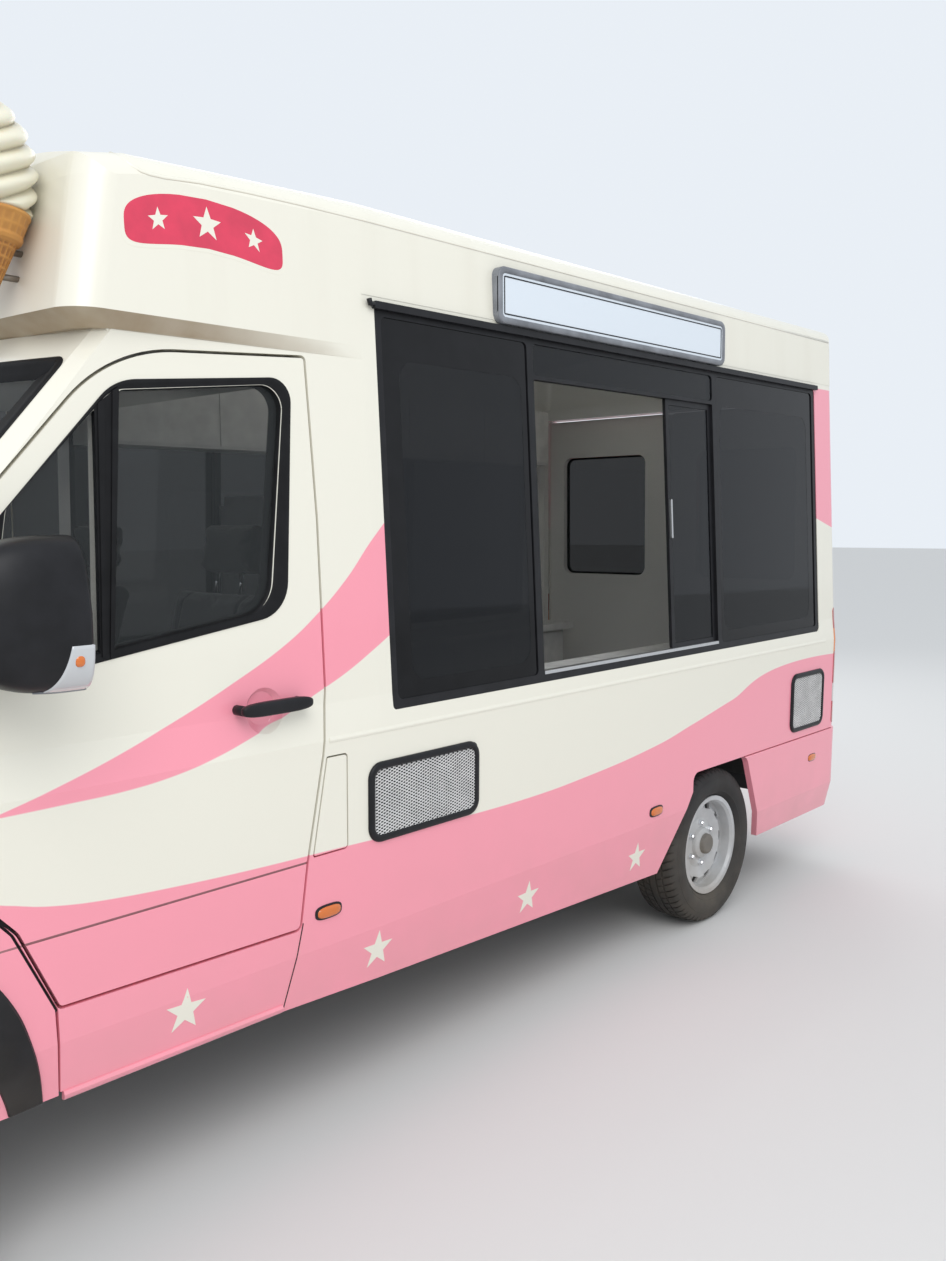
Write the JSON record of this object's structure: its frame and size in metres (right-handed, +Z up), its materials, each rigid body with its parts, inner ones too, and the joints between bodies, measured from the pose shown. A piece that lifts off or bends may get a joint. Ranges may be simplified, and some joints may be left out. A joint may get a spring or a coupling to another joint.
{
  "type": "ice cream truck",
  "caption": "High-roof panel van fitted out to sell ice cream, with an open serving hatch, roof pod, giant cones, opening doors, steering and turning wheels.",
  "frame": {"origin": "on the ground, below the middle of the van's bumpers", "axes": "+X forward, +Y to the van's left, +Z up"},
  "size_m": [5.9042, 2.428, 2.922],
  "materials": {
    "body_paint": "gloss cream with pink and star livery",
    "pod_gelcoat": "cream gelcoat",
    "black_plastic": "fine grain",
    "clear_glass": "clear",
    "tinted_glass": "grey tint",
    "red_lens": "moulded lens",
    "tyre": "worn rubber",
    "wheel_silver": "silver lacquer",
    "chassis_black": "satin black",
    "cast_metal": "raw",
    "exhaust_steel": "dull",
    "floor_paint": "chequer grey",
    "vent_mesh": "expanded mesh in a black rim",
    "sign_face": "pale blue face in a grey rim",
    "wafer": "waffle texture",
    "swirl": "smooth",
    "laminate": "white laminate",
    "stainless": "brushed",
    "dash_plastic": "grained",
    "seat_fabric": "woven"
  },
  "bodies": {
    "root": {"chassis_frame": "chassis_black", "front_subframe": "chassis_black", "rear_axle": "chassis_black", "engine_block": "cast_metal", "driveline": "cast_metal", "exhaust": "exhaust_steel", "fuel_tank": "chassis_black", "floor": "floor_paint", "cab_shell": "body_paint", "windscreen": "clear_glass", "wipers": "black_plastic", "front_wings": "body_paint", "headlamps": "clear_glass", "grille": "black_plastic", "front_bumper": "body_paint", "side_left": "body_paint", "side_right": "body_paint", "roof_pod": "pod_gelcoat", "rear_frame": "body_paint", "side_skirts": "body_paint", "rear_bumper": "body_paint", "tail_lamps": "red_lens", "hatch_frame": "black_plastic", "hatch_glass": "tinted_glass", "hatch_sash": "black_plastic", "vents": "vent_mesh", "sign_panels": "sign_face", "cone_wafers": "wafer", "cone_swirls": "swirl", "counters": "laminate", "soft_serve_machine": "stainless", "dashboard": "dash_plastic", "seat_bases": "dash_plastic", "seat_pads": "seat_fabric"},
    "steer_left": {"knuckle_left": "cast_metal"},
    "steer_right": {"knuckle_right": "cast_metal"},
    "steering_wheel": {"steering_wheel": "black_plastic"},
    "bonnet": {"bonnet": "body_paint"},
    "fuel_flap": {"fuel_flap": "body_paint"},
    "door_left": {"door_left": "body_paint", "door_left_glass": "clear_glass", "door_left_fittings": "black_plastic"},
    "rear_door_left": {"rear_door_left": "body_paint", "rear_door_left_glass": "tinted_glass"},
    "wheel_front_left": {"tyre_front_left": "tyre", "rim_front_left": "wheel_silver"},
    "wheel_rear_left": {"tyre_rear_left": "tyre", "rim_rear_left": "wheel_silver"},
    "door_right": {"door_right": "body_paint", "door_right_glass": "clear_glass", "door_right_fittings": "black_plastic"},
    "rear_door_right": {"rear_door_right": "body_paint", "rear_door_right_glass": "tinted_glass"},
    "wheel_front_right": {"tyre_front_right": "tyre", "rim_front_right": "wheel_silver"},
    "wheel_rear_right": {"tyre_rear_right": "tyre", "rim_rear_right": "wheel_silver"}
  },
  "joints": [
    {"name": "steering_left", "type": "hinge", "parent": "root", "child": "steer_left", "pos_m": [1.9485, 0.74, 0.348], "axis": [0, 0, 1], "range_deg": [-36, 36]},
    {"name": "steering_right", "type": "hinge", "parent": "root", "child": "steer_right", "pos_m": [1.9485, -0.74, 0.348], "axis": [0, 0, 1], "range_deg": [-36, 36]},
    {"name": "steering_wheel_turn", "type": "hinge", "parent": "root", "child": "steering_wheel", "pos_m": [1.29, -0.4, 1.33], "axis": [-0.8829, 0, 0.4695], "range_deg": [-504, 504]},
    {"name": "wheel_front_left_spin", "type": "hinge", "parent": "steer_left", "child": "wheel_front_left", "pos_m": [1.9485, 0.85, 0.348], "axis": [0, 1, 0], "continuous": true},
    {"name": "wheel_rear_left_spin", "type": "hinge", "parent": "root", "child": "wheel_rear_left", "pos_m": [-1.7165, 0.85, 0.348], "axis": [0, 1, 0], "continuous": true},
    {"name": "door_left_hinge", "type": "hinge", "parent": "root", "child": "door_left", "pos_m": [1.712, 0.976, 1.2], "axis": [0, 0, -1], "range_deg": [0, 68]},
    {"name": "rear_door_left_hinge", "type": "hinge", "parent": "root", "child": "rear_door_left", "pos_m": [-2.9305, 0.87, 1.5], "axis": [0, 0, -1], "range_deg": [0, 180]},
    {"name": "wheel_front_right_spin", "type": "hinge", "parent": "steer_right", "child": "wheel_front_right", "pos_m": [1.9485, -0.85, 0.348], "axis": [0, 1, 0], "continuous": true},
    {"name": "wheel_rear_right_spin", "type": "hinge", "parent": "root", "child": "wheel_rear_right", "pos_m": [-1.7165, -0.85, 0.348], "axis": [0, 1, 0], "continuous": true},
    {"name": "door_right_hinge", "type": "hinge", "parent": "root", "child": "door_right", "pos_m": [1.712, -0.976, 1.2], "axis": [0, 0, 1], "range_deg": [0, 68]},
    {"name": "rear_door_right_hinge", "type": "hinge", "parent": "root", "child": "rear_door_right", "pos_m": [-2.9305, -0.87, 1.5], "axis": [0, 0, 1], "range_deg": [0, 180]},
    {"name": "bonnet_hinge", "type": "hinge", "parent": "root", "child": "bonnet", "pos_m": [2.062, 0, 1.286], "axis": [0, -1, 0], "range_deg": [0, 50]},
    {"name": "fuel_flap_hinge", "type": "hinge", "parent": "root", "child": "fuel_flap", "pos_m": [0.48, 1, 0.995], "axis": [0, 0, 1], "range_deg": [0, 85]}
  ],
  "couplings": [
    {"joint": "steering_right", "follows": "steering_left", "ratio": 1},
    {"joint": "steering_wheel_turn", "follows": "steering_left", "ratio": 14}
  ]
}
